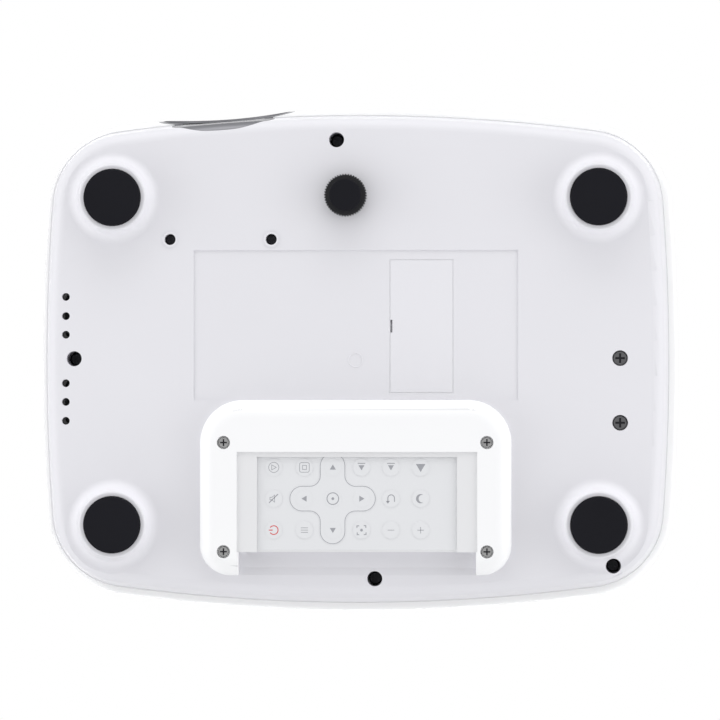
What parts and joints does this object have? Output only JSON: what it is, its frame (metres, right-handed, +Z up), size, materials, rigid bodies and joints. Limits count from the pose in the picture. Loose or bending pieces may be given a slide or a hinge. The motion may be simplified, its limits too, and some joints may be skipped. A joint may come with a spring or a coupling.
{
  "type": "projector with disc player",
  "caption": "Bowed table-top LED projector, disc tray out of its right side, round keypad on top, and its thin remote stored in a cradle underneath.",
  "frame": {"origin": "middle of the housing's outline, on the plane of the rubber feet", "axes": "+Z up, the lens looks along -Y, the disc tray slides out along +X, the sockets face +Y"},
  "size_m": [0.256, 0.202, 0.0978],
  "materials": {
    "white_case": "fine satin texture",
    "silver_trim": "silver paint",
    "dark_plastic": "fine matt texture",
    "grey_plastic": "satin",
    "key_plastic": "satin",
    "remote_film": "printed polyester film",
    "lens_glass": "coated, polished",
    "fresnel_acrylic": "fine grooves",
    "panel_glass": "polarised",
    "red_window": "smoked red",
    "mirror": "front-silvered",
    "aluminium": "extruded, plain",
    "zinc_steel": "zinc plated sheet",
    "screw_steel": "nickel plated",
    "brass": "machined",
    "rubber": "matt",
    "green_board": "solder mask",
    "black_moulding": "smooth",
    "hatch_grey": "fine satin texture"
  },
  "bodies": {
    "housing": {"bottom_case": "white_case", "top_cover": "white_case", "exhaust_grille": "white_case", "intake_grille": "white_case", "ir_window": "red_window", "lens_bowl": "silver_trim", "lens_tube": "dark_plastic", "engine_case": "dark_plastic", "engine_lid": "dark_plastic", "mirror": "mirror", "lcd_panel": "panel_glass", "fresnel_lenses": "fresnel_acrylic", "condenser_lens": "lens_glass", "led_module": "aluminium", "heat_sink": "aluminium", "fan_frame": "dark_plastic", "drive_bracket": "zinc_steel", "drive_chassis": "zinc_steel", "drive_cover": "zinc_steel", "main_board": "green_board", "power_board": "green_board", "power_inlet": "black_moulding", "signal_sockets": "zinc_steel", "av_jacks": "black_moulding", "port_panel": "grey_plastic", "keypad_board": "green_board", "rubber_feet": "rubber", "foot_nut": "brass", "speakers": "black_moulding", "remote_cover": "white_case", "case_screws": "screw_steel", "bracket_screws": "screw_steel", "small_screws": "screw_steel"},
    "focus_ring": {"focus_ring": "dark_plastic"},
    "lens_cell": {"lens_cell": "dark_plastic", "lens_glass": "lens_glass"},
    "fan_rotor": {"fan_rotor": "dark_plastic"},
    "tray": {"tray": "dark_plastic", "tray_bezel": "white_case", "traverse_deck": "zinc_steel"},
    "tray_rails": {"tray_rails": "zinc_steel"},
    "eject_button": {"eject_button": "grey_plastic"},
    "spindle_hub": {"spindle_hub": "dark_plastic"},
    "pickup": {"pickup": "dark_plastic"},
    "lead_screw": {"lead_screw": "zinc_steel"},
    "tilt_pad": {"tilt_pad": "rubber"},
    "tilt_wheel": {"tilt_wheel": "dark_plastic"},
    "hatch": {"hatch": "hatch_grey"},
    "remote": {"remote_case": "white_case", "remote_keypad": "remote_film", "battery_tray": "white_case"},
    "button_up": {"button_up": "key_plastic"},
    "button_down": {"button_down": "key_plastic"},
    "button_left": {"button_left": "key_plastic"},
    "button_right": {"button_right": "key_plastic"},
    "button_ok": {"button_ok": "key_plastic"},
    "button_power": {"button_power": "key_plastic"},
    "button_source": {"button_source": "key_plastic"},
    "button_eject": {"button_eject": "key_plastic"},
    "button_back": {"button_back": "key_plastic"}
  },
  "joints": [
    {"name": "tray_slide", "type": "slide", "parent": "housing", "child": "tray", "axis": [1, 0, 0], "range_m": [0, 0.13]},
    {"name": "rail_slide", "type": "slide", "parent": "housing", "child": "tray_rails", "axis": [1, 0, 0], "range_m": [0, 0.065]},
    {"name": "eject_press", "type": "slide", "parent": "tray", "child": "eject_button", "axis": [-1, 0, 0], "range_m": [0, 0.0009], "stiffness_N_per_m": 400},
    {"name": "disc_spin", "type": "hinge", "parent": "tray", "child": "spindle_hub", "pos_m": [0.0583, 0, 0.08], "axis": [0, 0, 1], "continuous": true},
    {"name": "sled_slide", "type": "slide", "parent": "tray", "child": "pickup", "axis": [0.7071, -0.7071, 0], "range_m": [0, 0.031]},
    {"name": "sled_screw", "type": "hinge", "parent": "tray", "child": "lead_screw", "pos_m": [0.05773, -0.02461, 0.07755], "axis": [0.7071, -0.7071, 0], "range_deg": [0, 3721]},
    {"name": "focus_slide", "type": "slide", "parent": "housing", "child": "lens_cell", "axis": [0, -1, 0], "range_m": [0, 0.006]},
    {"name": "focus_turn", "type": "hinge", "parent": "housing", "child": "focus_ring", "pos_m": [-0.0535, -0.088, 0.046], "axis": [0, -1, 0], "range_deg": [0, 120]},
    {"name": "fan_spin", "type": "hinge", "parent": "housing", "child": "fan_rotor", "pos_m": [0.09, -0.0126, 0.0426], "axis": [1, 0, 0], "continuous": true},
    {"name": "tilt_lift", "type": "slide", "parent": "housing", "child": "tilt_pad", "axis": [0, 0, -1], "range_m": [0, 0.012]},
    {"name": "tilt_turn", "type": "hinge", "parent": "tilt_pad", "child": "tilt_wheel", "pos_m": [-0.0039, -0.0642, 0.006], "axis": [0, 0, -1], "range_deg": [0, 2160]},
    {"name": "hatch_lift", "type": "slide", "parent": "housing", "child": "hatch", "axis": [0, 0, -1], "range_m": [0, 0.02]},
    {"name": "remote_draw", "type": "slide", "parent": "housing", "child": "remote", "axis": [0, 1, 0], "range_m": [0, 0.068]},
    {"name": "button_up_press", "type": "slide", "parent": "housing", "child": "button_up", "axis": [0, 0, -1], "range_m": [0, 0.0005], "stiffness_N_per_m": 400},
    {"name": "button_down_press", "type": "slide", "parent": "housing", "child": "button_down", "axis": [0, 0, -1], "range_m": [0, 0.0005], "stiffness_N_per_m": 400},
    {"name": "button_left_press", "type": "slide", "parent": "housing", "child": "button_left", "axis": [0, 0, -1], "range_m": [0, 0.0005], "stiffness_N_per_m": 400},
    {"name": "button_right_press", "type": "slide", "parent": "housing", "child": "button_right", "axis": [0, 0, -1], "range_m": [0, 0.0005], "stiffness_N_per_m": 400},
    {"name": "button_ok_press", "type": "slide", "parent": "housing", "child": "button_ok", "axis": [0, 0, -1], "range_m": [0, 0.0005], "stiffness_N_per_m": 400},
    {"name": "button_power_press", "type": "slide", "parent": "housing", "child": "button_power", "axis": [0, 0, -1], "range_m": [0, 0.0005], "stiffness_N_per_m": 400},
    {"name": "button_source_press", "type": "slide", "parent": "housing", "child": "button_source", "axis": [0, 0, -1], "range_m": [0, 0.0005], "stiffness_N_per_m": 400},
    {"name": "button_eject_press", "type": "slide", "parent": "housing", "child": "button_eject", "axis": [0, 0, -1], "range_m": [0, 0.0005], "stiffness_N_per_m": 400},
    {"name": "button_back_press", "type": "slide", "parent": "housing", "child": "button_back", "axis": [0, 0, -1], "range_m": [0, 0.0005], "stiffness_N_per_m": 400}
  ],
  "couplings": [
    {"joint": "rail_slide", "follows": "tray_slide", "ratio": 0.5},
    {"joint": "sled_screw", "follows": "sled_slide", "rad_per_m": 2094.4},
    {"joint": "focus_turn", "follows": "focus_slide", "rad_per_m": 349},
    {"joint": "tilt_turn", "follows": "tilt_lift", "rad_per_m": 3141.6}
  ]
}
